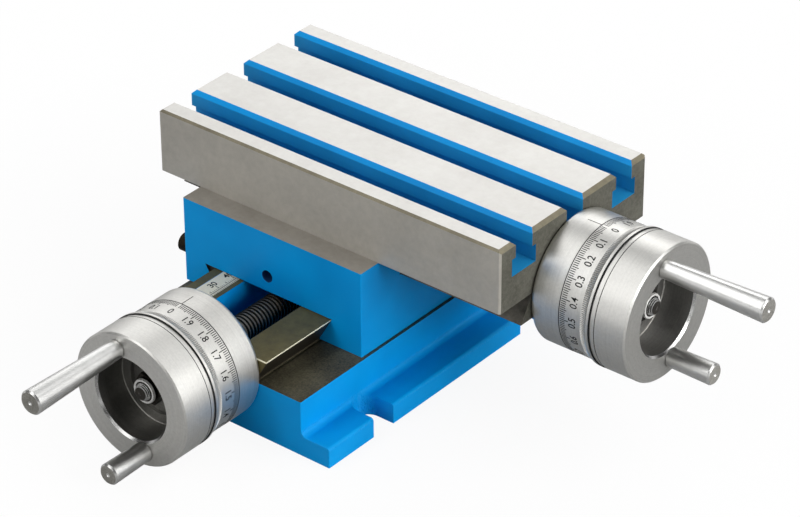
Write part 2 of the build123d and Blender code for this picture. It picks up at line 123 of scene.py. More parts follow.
def maths(tree, operation, first, second=0.0, third=0.0):
    return add(tree, "ShaderNodeMath", {"operation": operation}, i0=first, i1=second, i2=third).outputs[0]


def vector(tree, **parts):
    return add(tree, "ShaderNodeCombineXYZ", **parts).outputs[0]


def blend(tree, share, first, second):
    return add(tree, "ShaderNodeMix", {"data_type": "FLOAT"}, Factor=share, i2=first, i3=second).outputs[0]


def mapped(tree, value, low, high, start=0.0, end=1.0):
    """A value that runs from start to end, carried to the span from low to high and kept inside it."""
    return add(tree, "ShaderNodeMapRange", Value=value, i1=start, i2=end, i3=low, i4=high).outputs["Result"]


def object_coordinates(tree, stretch=(1, 1, 1), centre=(0, 0, 0)):
    coordinates = add(tree, "ShaderNodeTexCoord")
    centred = add(tree, "ShaderNodeVectorMath", {"operation": "SUBTRACT"},
                  i0=coordinates.outputs["Object"], i1=tuple(centre))
    return add(tree, "ShaderNodeVectorMath", {"operation": "MULTIPLY"},
               i0=centred.outputs[0], i1=tuple(stretch)).outputs[0]


def noise(tree, where, scale, detail, roughness=0.55):
    return add(tree, "ShaderNodeTexNoise", Vector=where, Scale=scale, Detail=detail,
               Roughness=roughness).outputs["Fac"]


def tint(tree, shader, factor, low, dark, high, light):
    """The base colour runs from dark to light while the factor goes from low to high."""
    ramp = add(tree, "ShaderNodeValToRGB", Fac=factor)
    for stop, position, colour in zip(ramp.color_ramp.elements, (low, high), (dark, light)):
        stop.position = position
        stop.color = (*colour, 1)
    tree.links.new(ramp.outputs["Color"], shader.inputs["Base Color"])


def roughen(tree, shader, low, high, factor):
    tree.links.new(mapped(tree, factor, low, high), shader.inputs["Roughness"])


def bump(tree, shader, height, strength, distance=0.0001):
    made = add(tree, "ShaderNodeBump", Height=height, Strength=strength, Distance=distance)
    tree.links.new(made.outputs["Normal"], shader.inputs["Normal"])


def srgb(colour):
    """Red, green and blue as they look on a screen, 0 to 255, made linear for the shader."""
    return tuple(v / 255 / 12.92 if v <= 10 else ((v / 255 + 0.055) / 1.055) ** 2.4 for v in colour)


# %% [markdown]
# ### Blue machine paint
#
# The castings are sprayed straight onto the foundry skin, so under the gloss there is a fine orange
# peel and a slower waviness. Two noises of different size make the bump; a third, very wide one lets
# the blue drift a little, as a sprayed coat does. Inside the slots the blue is painted greyer and a
# little darker, and in the saddle's front hole it is dark, both as painted shade. Along the painted edges
# it is painted paler, as a painted highlight.

# %% Paint


def paint(name, skin, dark=(0, 146, 221), light=(0, 160, 236), depth=0.0002):
    material, tree, shader = new_material(name, roughness=0.4, specular=0.16)
    where = object_coordinates(tree)
    tint(tree, shader, noise(tree, where, 28, 2), 0.3, srgb(dark), 0.7, srgb(light))
    peel = noise(tree, where, 1300, 2)
    wave = noise(tree, where, 320, 3)
    bump(tree, shader, blend(tree, 0.45, peel, wave), skin, depth)
    roughen(tree, shader, 0.36, 0.5, wave)
    return material


blue_paint = paint("blue_machine_paint", 0.35)
rough_paint = paint("blue_paint_on_foundry_skin", 1.0, depth=0.0008)
# A paler blue for the bevels between painted faces: a painted highlight.
edge_highlight_paint = paint("blue_painted_edge_highlight", 0.1, (40, 168, 236), (58, 180, 246))
# A greyer, slightly darker blue for inside the T-slots: painted shade.
slot_shade_paint = paint("blue_slot_painted_shade", 0.3, (34, 142, 196), (42, 156, 212))
# A dark blue for the inside of the saddle's front hole: painted shade.
hole_shade_paint = paint("blue_hole_painted_shade", 0.3, (30, 62, 112), (40, 78, 132))
print("paints:", [m.name for m in (blue_paint, rough_paint, edge_highlight_paint, slot_shade_paint, hole_shade_paint)])

# %% [markdown]
# ### Bare iron
#
# Every sliding or clamping face is machined, and each way of machining has its own sheen. Fine
# grinding leaves the table's top pale and even. The table's side faces are painted a darker grey and
# its ends darker still, as painted shade, and the ways are dark from oil. One recipe covers them: a
# mottled colour between two tones, scratches stretched along the cut, and a roughness that follows
# the mottling.

# %% Ground and milled iron


def bare_iron(name, dark, light, roughness, along="x", mottle=260, scratch=0.12, metallic=1.0):
    material, tree, shader = new_material(name, metallic=metallic)
    where = object_coordinates(tree)
    broad = noise(tree, where, 45, 3)
    fine = noise(tree, where, mottle, 5, 0.7)
    tint(tree, shader, blend(tree, 0.6, broad, fine), 0.36, srgb(dark), 0.62, srgb(light))
    stretch = {"x": (12, 700, 700), "y": (700, 12, 700)}[along]
    cut = noise(tree, object_coordinates(tree, stretch), 2.2, 3)
    roughen(tree, shader, roughness - 0.07, roughness + 0.07, fine)
    bump(tree, shader, cut, scratch)
    return material


ground_top = bare_iron("iron_ground_top", (200, 198, 194), (212, 211, 207), 0.45, metallic=0.6)
# The table's side faces: a greyer, darker iron than the top, painted shade.
side_shade_iron = bare_iron("iron_side_painted_shade", (171, 167, 159), (187, 183, 174), 0.6, metallic=0.35)
# The table's end faces: darker still, painted shade.
end_shade_iron = bare_iron("iron_end_painted_shade", (74, 73, 64), (112, 111, 101), 0.55, "y", 700, metallic=0.4)
broken_edge = bare_iron("iron_broken_edge", (116, 110, 93), (142, 135, 114), 0.5, metallic=0.5)
ledge_iron = bare_iron("iron_ledge", (154, 149, 140), (170, 165, 157), 0.55, metallic=0.35)
way_iron = bare_iron("iron_oiled_way", (38, 35, 26), (104, 98, 76), 0.5, "y", 1100, metallic=0.2)
rail_iron = bare_iron("iron_rail_top", (84, 76, 42), (110, 100, 60), 0.42, along="y", metallic=0.2)
# A very dark iron for the slanted dovetail faces, which look down: painted shade.
slant_shade_iron = bare_iron("iron_dovetail_painted_shade", (26, 23, 17), (52, 47, 38), 0.4, along="y", metallic=0.3)
# A pale cream for the rails' widened top edges: a painted glint.
glint_iron = bare_iron("iron_painted_edge_glint", (232, 226, 198), (244, 240, 214), 0.35, along="y", metallic=0.2)
hidden_iron = bare_iron("iron_inner_face", (70, 68, 62), (104, 101, 94), 0.5)
print("iron finishes: 10")

# %% [markdown]
# ### Turned metal
#
# A lathe leaves rings round its axis, on the rim as well as on the face. The recipe finds, for each
# point, how far it lies along the axis and how far from it. A noise that reads only those two numbers
# is a set of rings on every surface of the piece.

# %% Turned aluminium and steel


def turned_metal(name, axis, dark, light, roughness, depth=0.05):
    material, tree, shader = new_material(name, metallic=1.0)
    where = object_coordinates(tree, centre=drives[axis].translation)
    parts = add(tree, "ShaderNodeSeparateXYZ", Vector=where).outputs
    along, side = (parts[0], parts[1]) if axis == "x" else (parts[1], parts[0])
    squares = maths(tree, "ADD", maths(tree, "POWER", side, 2.0), maths(tree, "POWER", parts[2], 2.0))
    ring = noise(tree, vector(tree, X=along, Y=maths(tree, "SQRT", squares)), 2600, 2)
    fine = noise(tree, where, 900, 4, 0.65)
    tint(tree, shader, blend(tree, 0.55, ring, fine), 0.35, srgb(dark), 0.65, srgb(light))
    roughen(tree, shader, roughness - 0.06, roughness + 0.06, fine)
    bump(tree, shader, ring, depth)
    return material


aluminium = {a: turned_metal(f"aluminium_{a}", a, (205, 204, 200), (221, 220, 216), 0.42) for a in "xy"}
# The cup's bore is painted darker than the wheel, more so on the Y wheel: painted shade.
cup_shade_tones = {"x": ((144, 143, 141), (166, 165, 162)), "y": ((126, 125, 122), (148, 147, 143))}
cup_shade_metal = {a: turned_metal(f"aluminium_cup_{a}", a, *cup_shade_tones[a], 0.42) for a in "xy"}
# The wheel's flat front face is painted darker on X and lighter on Y: painted shade and light.
face_light_shade_tones = {"x": ((188, 187, 183), (206, 205, 201)), "y": ((216, 215, 211), (232, 231, 227))}
face_light_shade_metal = {a: turned_metal(f"aluminium_face_{a}", a, *face_light_shade_tones[a], 0.42) for a in "xy"}
steel = {a: turned_metal(f"polished_steel_{a}", a, (176, 176, 175), (192, 192, 190), 0.26, depth=0.02)
         for a in "xy"}
bar_steel = bare_iron("handle_steel", (208, 208, 206), (220, 220, 218), 0.33, mottle=300, scratch=0.02)
faced_steel = bare_iron("handle_end_steel", (118, 116, 110), (176, 174, 168), 0.5, mottle=1800, metallic=0.6)
# A near-white, almost non-metallic steel for the nut's rim: a painted highlight.
rim_painted_highlight = bare_iron("rim_painted_highlight", (226, 225, 221), (240, 239, 236), 0.3, mottle=900, metallic=0.15)
# A light steel for the thread's crests: a painted highlight on the dark thread.
crest_highlight_steel = bare_iron("thread_crest_painted_highlight", (158, 150, 138), (184, 176, 164), 0.3, mottle=600, metallic=0.5)
thread_steel = bare_iron("thread_root", (30, 27, 22), (50, 46, 39), 0.4, mottle=600, metallic=0.4)
black_metal = {a: turned_metal(f"black_steel_{a}", a, (40, 38, 34), (62, 59, 54), 0.32) for a in "xy"}
bronze = bare_iron("bronze", (150, 118, 62), (180, 146, 84), 0.4)
black_steel = bare_iron("blackened_steel", (30, 26, 20), (52, 46, 36), 0.42)
plain_steel = bare_iron("bright_steel", (176, 176, 174), (200, 200, 198), 0.35)
print("turned finishes:", [m.name for m in (*aluminium.values(), *steel.values())])

# %% [markdown]
# ### Ink
#
# Engraved lines are filled with black. A plain dark lacquer with a little variation does for them.

# %% Ink in the engraving


def ink(name, colour):
    material, tree, shader = new_material(name, roughness=0.6, specular=0.3)
    spread = noise(tree, object_coordinates(tree), 2500, 2)
    dark = srgb(colour)
    lighter = tuple(min(1.0, v * 1.6 + 0.01) for v in dark)
    tint(tree, shader, spread, 0.4, dark, 0.75, lighter)
    roughen(tree, shader, 0.5, 0.7, spread)
    return material


black_ink = ink("black_ink", (20, 20, 20))
deep_black = ink("deep_black", (5, 5, 5))
knurl_shade = ink("knurl_shade", (138, 138, 136))
strip_metal = bare_iron("scale_strip_metal", (226, 220, 198), (242, 237, 216), 0.5, along="y", metallic=0.0)
print("inks ready")

# %% [markdown]
# ## Castings
#
# A casting carries several finishes on one mesh: paint outside, ground faces where it slides. The
# frame's own mesh stays as it is, so each casting gets a copy. The copy's loose triangles are merged,
# a rule gives each face its finish, flat triangles are dissolved into whole faces, and the long sharp
# edges get a small bevel, because a real edge is never perfectly sharp and catches the light.

# %% Copy, sort and soften a casting
weld = 0.0015 * mm
glint_width = 0.42 * mm
shortest_sharp = 2.5 * mm
sharp_from = math.radians(25)


def shown(name, data):
    """A new object in the scene."""
    made = bpy.data.objects.new(name, data)
    scene.collection.objects.link(made)
    return made


def mesh_from(work, name):
    """A new mesh from the one worked on, which is given up."""
    mesh = bpy.data.meshes.new(name)
    work.to_mesh(mesh)
    work.free()
    return mesh


def welded(node):
    """The frame's mesh of a node to work on, its loose triangles merged."""
    work = bmesh.new()
    work.from_mesh(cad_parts[node].data)
    bmesh.ops.remove_doubles(work, verts=work.verts, dist=weld)
    return work


def dressed_copy(node, ending, body, slot, finishes, rule, edge=0.0, painted_glint=None):
    """A node's own mesh with several finishes, seated on its body in the node's place.

    finishes names the materials, and rule picks a name for a face's centre and normal. A bevel
    between two faces of the first finish gets the one named pale_edge_highlight, a paler painted
    highlight, if there is one. painted_glint is a test for edges that are broken wider and get the
    last finish, a pale painted glint.
    """
    work = welded(node)
    work.normal_update()
    order = list(finishes)
    for face in work.faces:
        face.material_index = order.index(rule(face.calc_center_median(), face.normal))
    bmesh.ops.dissolve_limit(work, angle_limit=math.radians(0.3), verts=work.verts, edges=work.edges,
                             delimit={"MATERIAL"})
    last = len(order) - 1
    if painted_glint:
        bmesh.ops.bevel(work, geom=[e for e in work.edges if painted_glint(e)], offset=glint_width, segments=1,
                        affect="EDGES", clamp_overlap=True, material=last)
    if edge:
        sharp = [e for e in work.edges if e.is_manifold and e.calc_length() > shortest_sharp
                 and e.calc_face_angle() > sharp_from
                 and not (painted_glint and any(f.material_index == last for f in e.link_faces))]
        kept = set(work.faces)
        made = bmesh.ops.bevel(work, geom=sharp, offset=edge, segments=2, profile=0.6, affect="EDGES",
                               clamp_overlap=True, material=-1)
        # Bevels between painted faces take the paler blue, a painted highlight.
        if "pale_edge_highlight" in order:
            pale_edge_highlight = order.index("pale_edge_highlight")
            for face in made["faces"]:
                around = {g.material_index for e in face.edges for g in e.link_faces}
                if around <= {0, pale_edge_highlight} and face not in kept:
                    face.material_index = pale_edge_highlight
    bmesh.ops.triangulate(work, faces=[f for f in work.faces if len(f.verts) > 4])
    name = f"{node}_{ending}"
    made = finished(name, mesh_from(work, name), finishes.values(), weigh=True)
    return seat(made, body, slot, node)


def finished(name, mesh, finishes, sharp_angle=35, weigh=False):
    """An object for a mesh already in place. Weighing lets large flat faces lead the shading."""
    if mesh.materials:
        mesh.materials.clear()
    for material in finishes:
        mesh.materials.append(material)
    mesh.shade_smooth()
    mesh.set_sharp_from_angle(angle=math.radians(sharp_angle))
    made = shown(name, mesh)
    if weigh:
        leading_normals(mesh, sharp_angle)
    return made


def flood(start, neighbours):
    """Everything that can be reached from start."""
    found, waiting = {start}, [start]
    while waiting:
        for other in neighbours(waiting.pop()):
            if other not in found:
                found.add(other)
                waiting.append(other)
    return found


def leading_normals(mesh, sharp_angle):
    """Sets the shading normals so that a large flat area decides for the small faces next to it."""
    work = bmesh.new()
    work.from_mesh(mesh)
    bend = {e: e.calc_face_angle(3.0) for e in work.edges}
    weight = {}
    for face in work.faces:
        if face not in weight:
            flat = flood(face, lambda f: [g for e in f.edges if bend[e] < 0.01 for g in e.link_faces])
            area = sum(f.calc_area() for f in flat)
            weight.update({f: (area / len(flat), area) for f in flat})
    normals = {}
    for vertex in work.verts:
        left = set(vertex.link_faces)
        while left:
            fan = flood(next(iter(left)), lambda f: [
                g for e in f.edges if vertex in e.verts and bend[e] < math.radians(sharp_angle)
                for g in e.link_faces])
            most = max(weight[f][1] for f in fan)
            leaders = [f for f in fan if weight[f][1] > most / 3]
            normal = sum((f.normal * f.calc_area() for f in leaders), Vector()).normalized()
            for face in fan:
                normals[face.index, vertex.index] = normal
            left -= fan
    mesh.normals_split_custom_set([normals[p.index, mesh.loops[i].vertex_index] for p in mesh.polygons
                                   for i in p.loop_indices])
    work.free()


def seat(piece, body, slot, *nodes):
    """The piece rides on a body, and stands for nodes if any are given. slot is not used."""
    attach(piece, body)
    if nodes:
        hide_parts(*nodes)
    return piece


# %% [markdown]
# The base is painted except for its underside, the two ways, the rails' tops and the slanted dovetail
# faces, whose iron is given a very dark tone as painted shade. The walls inside the open notches still
# show the foundry skin, and the rails' outer top edges are broken wider and painted pale, as a painted
# glint.

# %% Base casting
groove_depth = 1.2 * mm
way_start, groove_end = 23 * mm, 30 * mm
left_side, right_side = -47.4 * mm, 50.9 * mm
flange_zone = 13 * mm
rail_side = 32.8 * mm
base_finishes = {
    "paint": blue_paint, "foundry skin": rough_paint, "way": way_iron, "rail": rail_iron,
    "underside": hidden_iron, "pale_edge_highlight": edge_highlight_paint, "slant": slant_shade_iron, "painted_glint": glint_iron}


def base_finish(centre, normal):
    side = abs(centre.x)
    if centre.z > rail_top - 1.5 * mm and normal.z > 0.9 or centre.z > way_height and abs(normal.y) > 0.9:
        return "rail"
    if normal.z > 0.9 and centre.z > way_height - groove_depth and side > way_start:
        return "way"
    # Faces that look down under the rails' tops get the very dark iron, painted shade.
    if normal.z < -0.3 and centre.z > way_height - 0.5 * mm:
        return "slant"
    in_groove = way_height - groove_depth < centre.z < way_height and way_start < side < groove_end
    if in_groove and abs(normal.y) < 0.5:
        return "way"
    if normal.z < -0.9 and centre.z < 0.1 * mm:
        return "underside"
    in_flange = (centre.x > right_side or centre.x < left_side) and centre.z < flange_zone
    if in_flange and abs(normal.z) < 0.5 and abs(normal.x) < 0.999 and abs(normal.y) < 0.9999:
        return "foundry skin"
    return "paint"


def glint_edges(edge):
    """The rails' outer top edges, and the top edge of their front ends, which get a pale painted glint."""
    ends = [v.co for v in edge.verts]
    return all(p.z > rail_top - 0.05 * mm for p in ends) and (
        all(abs(p.x) > rail_side for p in ends) or all(p.y < base_low.y + 0.05 * mm for p in ends))


base = dressed_copy("base_casting", "painted", "base", "blue_paint", base_finishes, base_finish,
                    edge=0.25 * mm, painted_glint=glint_edges)
print("base faces:", len(base.data.polygons))

# %% [markdown]
# The saddle is a painted block. Its top, its underside and both dovetail grooves are machined.

# %% Saddle casting
saddle_finishes = {
    "paint": blue_paint, "top": ledge_iron, "inside": hidden_iron, "pale_edge_highlight": edge_highlight_paint,
    "front hole": hole_shade_paint}


def saddle_finish(centre, normal):
    on_side = abs(centre.x) > saddle_high.x - 1 * mm and (abs(normal.x) > 0.9 or abs(normal.z) < 0.3)
    on_front = abs(centre.y) > saddle_high.y - 1 * mm and abs(normal.y) > 0.9
    if on_side or on_front:
        return "paint"
    # The inside of the front hole takes the dark blue, painted shade.
    if centre.y < saddle_low.y + 9 * mm and abs(centre.x) < 8 * mm and centre.z > rail_top + 3 * mm:
        return "front hole"
    if normal.z > 0.9 and centre.z > saddle_high.z - 0.5 * mm:
        return "top"
    return "inside"


saddle = dressed_copy("saddle_casting", "painted", "saddle", "blue_paint", saddle_finishes,
                      saddle_finish, edge=0.2 * mm)
print("saddle faces:", len(saddle.data.polygons))

# %% [markdown]
# The table is bare iron apart from its T-slots, which are painted blue inside, chamfers included.

# %% Table casting
slot_pitch, slot_half, slot_depth = 34.3 * mm, 8.2 * mm, 17 * mm
table_finishes = {
    "top": ground_top, "slot chamfer": blue_paint, "side": side_shade_iron, "end": end_shade_iron,
    "edge": broken_edge, "inside": hidden_iron, "slot": slot_shade_paint}


def table_finish(centre, normal):
    # Slot walls and floors take the greyer blue, painted shade; the chamfers keep the plain paint.
    in_slot = min(abs(centre.y - slot_pitch * k) for k in (-1, 0, 1)) < slot_half
    if in_slot and abs(normal.x) < 0.5 and centre.z > table_high.z - slot_depth and normal.z < 0.999:
        return "slot chamfer" if normal.z > 0.3 else "slot"
    if in_slot and normal.z > 0.9 and centre.z < table_high.z - 10 * mm:
        return "slot"
    if normal.z > 0.9 and centre.z > table_high.z - 0.1 * mm:
        return "top"
    # End faces take the darkest iron and side faces a darker grey than the top: painted shade.
    if abs(normal.x) > 0.95:
        return "end"
    if centre.z > table_high.z - 2 * mm:
        return "edge"
    if abs(normal.y) > 0.6 and abs(centre.y) > table_high.y - 2 * mm:
        return "side"
    return "inside"


table = dressed_copy("table_casting", "ground", "table", "ground_iron", table_finishes,
                     table_finish, edge=0.15 * mm)
print("table faces:", len(table.data.polygons))

# %% [markdown]
# ## Handwheels
#
# The wheel's solid already has its steps and its cup. The copy sorts the faces: satin metal outside,
# the cup's bore, painted darker as painted shade, its bright edge, and the flat face in front, painted
# darker on the X wheel and lighter on the Y wheel as painted shade and light. Then the cup's edge is
# opened to a cone between two circles, each given by its radius and its height in millimetres.

# %% Wheels
cup_radius, cup_start, face_start = 19.3 * mm, 16 * mm, 33.9 * mm
edge_front, edge_back = (20.05, 34.0), (19.1, 33.05)


def from_axis(place, point):
    """How far a point lies from a drive's axis, and how far out along it."""
    local = place.inverted() @ point
    return math.hypot(local.x, local.y), local.z


def wheel_rule(place):
    def rule(centre, normal):
        radius, height = from_axis(place, centre)
        flat = abs(normal.dot(place.to_3x3().col[2])) > 0.9
        if height > 33 * mm and 19 * mm < radius < 19.7 * mm and not flat:
            return "cup edge"
        # The flat front face takes its per-wheel tone, painted light and shade.
        if flat and height > face_start and radius > cup_radius:
            return "face"
        return "cup" if radius < cup_radius and cup_start < height < face_start else "outside"
    return rule


for a, place in drives.items():
    finishes = {"outside": aluminium[a], "cup": cup_shade_metal[a], "cup edge": steel[a], "face": face_light_shade_metal[a]}
    wheel = dressed_copy(f"{a}_handwheel", "turned", f"{a}_screw", "satin_aluminium", finishes,
                         wheel_rule(place))
    for vertex in wheel.data.vertices:
        radius, height = from_axis(place, vertex.co)
        if 18.9 * mm < radius < 19.8 * mm and height > 33.3 * mm:
            new_radius, new_height = edge_front if height > 33.8 * mm else edge_back
            local = place.inverted() @ vertex.co
            flat = Vector((local.x, local.y, 0)) * (new_radius * mm / radius)
            vertex.co = place @ Vector((flat.x, flat.y, new_height * mm))
print("wheels sorted")

# %% [markdown]
# ## A lathe in code
#
# Handles are plain turned work. The outline is a list of radius and height in millimetres, spun
# about the drive's axis line. A handle's free end has the small centre hole that its tailstock left.

# %% Spin an outline


def spun(name, outline, place=Matrix.Identity(4), offset=(0.0, 0.0), steps=96):
    """outline runs from the axis back to the axis; offset moves it sideways and up, in millimetres."""
    work = bmesh.new()
    rings = []
    for radius, height in outline:
        count = steps if radius > 1e-6 else 1
        rings.append([work.verts.new((offset[0] * mm + radius * mm * math.cos(2 * math.pi * i / count),
                                      offset[1] * mm + radius * mm * math.sin(2 * math.pi * i / count),
                                      height * mm)) for i in range(count)])
    for lower, upper in zip(rings, rings[1:]):
        for i in range(steps):
            j = (i + 1) % steps
            corners = list(dict.fromkeys((lower[i % len(lower)], lower[j % len(lower)],
                                          upper[j % len(upper)], upper[i % len(upper)])))
            if len(corners) > 2:
                work.faces.new(corners)
    bmesh.ops.transform(work, matrix=place, verts=work.verts)
    bmesh.ops.recalc_face_normals(work, faces=work.faces)
    return mesh_from(work, name)


def handle_outline(foot, length, base, tip):
    """A handle from its shank, hidden in the wheel, over the thin foot to the rounded free end."""
    end = foot + length
    return [(0, foot - 10), (3, foot - 10), (3, foot - 0.1), (base - 0.45, foot - 0.1),
            (base - 0.45, foot + 0.3), (base, foot + 0.34), (tip, end - 0.85), (tip - 0.1, end - 0.7),
            (tip - 0.7, end - 0.06), (tip - 0.85, end), (1.0, end), (0.8, end - 0.12), (0, end - 0.9)]


wheel_end = 34.0
handle_circle = 23.6
handle_turns = {"x": 9.0, "y": 15.4}
# Each handle's side of the wheel, its length, and its radius at the foot and at the tip.
handles = {"long": (1, 50.5, 4.15, 5.5), "short": (-1, 21.8, 4.5, 4.85)}
for a, place in drives.items():
    turn = math.radians(handle_turns[a])
    facing = place.to_3x3() @ Vector((0, 0, 1))
    for kind, (way, *sizes) in handles.items():
        node = f"{a}_{kind}_handle"
        offset = (-way * handle_circle * math.sin(turn), way * handle_circle * math.cos(turn))
        mesh = spun(f"{node}_turned", handle_outline(wheel_end, *sizes), place, offset)
        for face in mesh.polygons:
            face.material_index = 1 if face.normal.dot(facing) > 0.9 else 0
        piece = finished(f"{node}_turned", mesh, [bar_steel, faced_steel], sharp_angle=20)
        seat(piece, f"{a}_screw", "bright_steel", node)
print("handles: 4")

# %% [markdown]
# ## Graduations with Geometry Nodes
#
# A dial has about two hundred lines. Drawing them by hand is hopeless, and a texture would blur, so a
# node tree instances one small bar round a circle. Its inputs are named for what they do: how many
# bars, which ones to leave out because a longer line takes their place, and the bar's own size. The
# first bar is always left out. A sister tree lays bars in a row for the scale strip, and a third one
# repeats any mesh round the axis, which makes the fine knurl.

# %% Node trees for rings and rows of bars


def new_tree(name, inputs):
    tree = bpy.data.node_groups.new(name, "GeometryNodeTree")
    tree.interface.new_socket("Geometry", in_out="OUTPUT", socket_type="NodeSocketGeometry")
    for label, kind in inputs:
        tree.interface.new_socket(label, in_out="INPUT", socket_type=kind)
    return tree, add(tree, "NodeGroupInput").outputs, add(tree, "NodeGroupOutput")


def finish_tree(tree, geometry, material, out):
    """Instances become plain geometry, get their material and are handed out."""
    real = add(tree, "GeometryNodeRealizeInstances", Geometry=geometry)
    inked = add(tree, "GeometryNodeSetMaterial", Geometry=real.outputs[0], Material=material)
    tree.links.new(inked.outputs[0], out.inputs["Geometry"])


def lay_bars(tree, given, out, index, position, size, **spin):
    """A bar of this size at each position, apart from each so manieth and the first."""
    points = add(tree, "GeometryNodeMeshLine", Count=given["Bars"])
    placed = add(tree, "GeometryNodeSetPosition", Geometry=points.outputs[0], Position=position)
    bar = add(tree, "GeometryNodeMeshCube", Size=size)
    kept = add(tree, "FunctionNodeCompare", {"data_type": "FLOAT", "operation": "GREATER_THAN"},
               A=maths(tree, "MODULO", index, given["Leave Out Every"]), B=0.5)
    bars = add(tree, "GeometryNodeInstanceOnPoints", Points=placed.outputs[0], Instance=bar.outputs[0],
               Selection=kept.outputs[0], **spin)
    finish_tree(tree, bars.outputs[0], given["Material"], out)


FLOAT, INT, MATERIAL = "NodeSocketFloat", "NodeSocketInt", "NodeSocketMaterial"
bar_inputs = [("Bar Width", FLOAT), ("Bar Length", FLOAT), ("Bar Height", FLOAT), ("Material", MATERIAL)]
ring_tree, given, out = new_tree("bars_round_a_circle", [
    ("Bars", INT), ("Leave Out Every", INT), ("Radius", FLOAT), ("Start", FLOAT), *bar_inputs])
index = add(ring_tree, "GeometryNodeInputIndex").outputs[0]
share = maths(ring_tree, "DIVIDE", index, given["Bars"])
angle = maths(ring_tree, "MULTIPLY_ADD", share, 2 * math.pi, math.pi / 2)
across, upwards = (maths(ring_tree, "MULTIPLY", maths(ring_tree, part, angle), given["Radius"])
                   for part in ("COSINE", "SINE"))
height = maths(ring_tree, "MULTIPLY_ADD", given["Bar Length"], 0.5, given["Start"])
lay_bars(ring_tree, given, out, index, vector(ring_tree, X=across, Y=upwards, Z=height),
         vector(ring_tree, X=given["Bar Height"], Y=given["Bar Width"], Z=given["Bar Length"]),
         Rotation=vector(ring_tree, Z=angle))
print("ring tree nodes:", len(ring_tree.nodes))

# %% [markdown]
# The row tree is simpler: the points already lie on a straight line, so each bar only needs its size.

# %% Row of bars
row_tree, given, out = new_tree("bars_in_a_row", [
    ("Bars", INT), ("Leave Out Every", INT), ("Spacing", FLOAT), *bar_inputs])
index = add(row_tree, "GeometryNodeInputIndex").outputs[0]
position = vector(row_tree, X=maths(row_tree, "MULTIPLY", given["Bar Length"], -0.5),
                  Y=maths(row_tree, "MULTIPLY", index, given["Spacing"]))
lay_bars(row_tree, given, out, index, position,
         vector(row_tree, X=given["Bar Length"], Y=given["Bar Width"], Z=given["Bar Height"]))
print("row tree nodes:", len(row_tree.nodes))

# %% [markdown]
# The third tree puts every copy at the origin and only turns it.

# %% Copies round an axis, and plain meshes from trees
copies_tree, given, out = new_tree("copies_round_an_axis", [
    ("Shape", "NodeSocketGeometry"), ("Copies", INT), ("Material", MATERIAL)])
points = add(copies_tree, "GeometryNodeMeshLine", Count=given["Copies"], Offset=(0, 0, 0))
index = add(copies_tree, "GeometryNodeInputIndex").outputs[0]
angle = maths(copies_tree, "MULTIPLY", maths(copies_tree, "DIVIDE", index, given["Copies"]), 2 * math.pi)
copies = add(copies_tree, "GeometryNodeInstanceOnPoints", Points=points.outputs[0], Instance=given["Shape"],
             Rotation=vector(copies_tree, Z=angle))
finish_tree(copies_tree, copies.outputs[0], given["Material"], out)


def as_mesh(holder):
    """What an object comes out as, as a plain mesh. The object itself goes."""
    mesh = bpy.data.meshes.new_from_object(holder.evaluated_get(bpy.context.evaluated_depsgraph_get()))
    holder.modifiers.clear()
    bpy.data.objects.remove(holder)
    return mesh


def grown(tree, name, values):
    """Runs a tree with named inputs. A Shape is the mesh to repeat."""
    holder = shown(name, values.get("Shape") or bpy.data.meshes.new(name + "_seed"))
    modifier = holder.modifiers.new("grow", "NODES")
    modifier.node_group = tree
    for item in tree.interface.items_tree:
        if item.in_out == "INPUT" and item.name != "Shape":
            modifier[item.identifier] = values[item.name]
    holder.update_tag()
    return as_mesh(holder)


def joined(name, meshes, place):
    """One mesh from several, carried from the frame that they were drawn in to its place."""
    work = bmesh.new()
    for mesh in meshes:
        work.from_mesh(mesh)
    bmesh.ops.transform(work, matrix=place, verts=work.verts)
    return mesh_from(work, name)


def put(name, meshes, place, body, slot, finishes, sharp_angle=35):
    return seat(finished(name, joined(name, meshes, place), finishes, sharp_angle), body, slot)


print("copies tree nodes:", len(copies_tree.nodes))

# %% [markdown]
# ## Figures bent round the dial
#
# The figures are ordinary text turned into a mesh. Each point is then wrapped on the dial: what was
# the reading direction becomes an angle, and what was up points back towards the housing.

# %% Dial lines, figures and knurl
dial_radius, dial_start = 29.7, 0.2
first_line = dial_start + 0.55
figure_middle = dial_start + 6.9
figure_size, figure_depth, figure_width = 5.1 * mm, 0.03 * mm, 0.8
# Leaving out every millionth bar leaves out the first one only.
only_first = 10 ** 6


def text_mesh(words, size, weight):
    curve = bpy.data.curves.new("figure", "FONT")
    curve.body = words
    curve.size = size
    curve.align_x = "CENTER"
    curve.align_y = "CENTER"
    curve.offset = weight
    curve.extrude = figure_depth
    curve.resolution_u = 4
    return as_mesh(shown("figure", curve))


def wrapped(mesh, radius, turn, middle):
    """Bends a flat figure round local Z. turn is where its middle lies, counted from sideways."""
    for vertex in mesh.vertices:
        around = turn - vertex.co.x / radius
        out_to = radius + vertex.co.z
        vertex.co = (out_to * math.cos(around), out_to * math.sin(around), middle - vertex.co.y)
    return mesh


def ring_bars(count, skip, width, length):
    return grown(ring_tree, "ring", {
        "Bars": count, "Leave Out Every": skip, "Radius": dial_radius * mm, "Start": first_line * mm,
        "Bar Width": width * mm, "Bar Length": length * mm, "Bar Height": 0.05 * mm, "Material": deep_black})


def ridge(stations, width, height):
    """One ridge of the knurl, a small roof over a line of points given as (height, radius)."""
    work = bmesh.new()
    roof = ((0, -width / 2), (height, 0), (0, width / 2))
    rows = [[work.verts.new(((r + up) * mm, side * mm, z * mm)) for up, side in roof] for z, r in stations]
    for lower, upper in zip(rows, rows[1:]):
        for k in (0, 1):
            work.faces.new((lower[k], lower[k + 1], upper[k + 1], upper[k]))
    work.faces.new(rows[0][::-1])
    work.faces.new(rows[-1])
    bmesh.ops.recalc_face_normals(work, faces=work.faces)
    return mesh_from(work, "ridge")


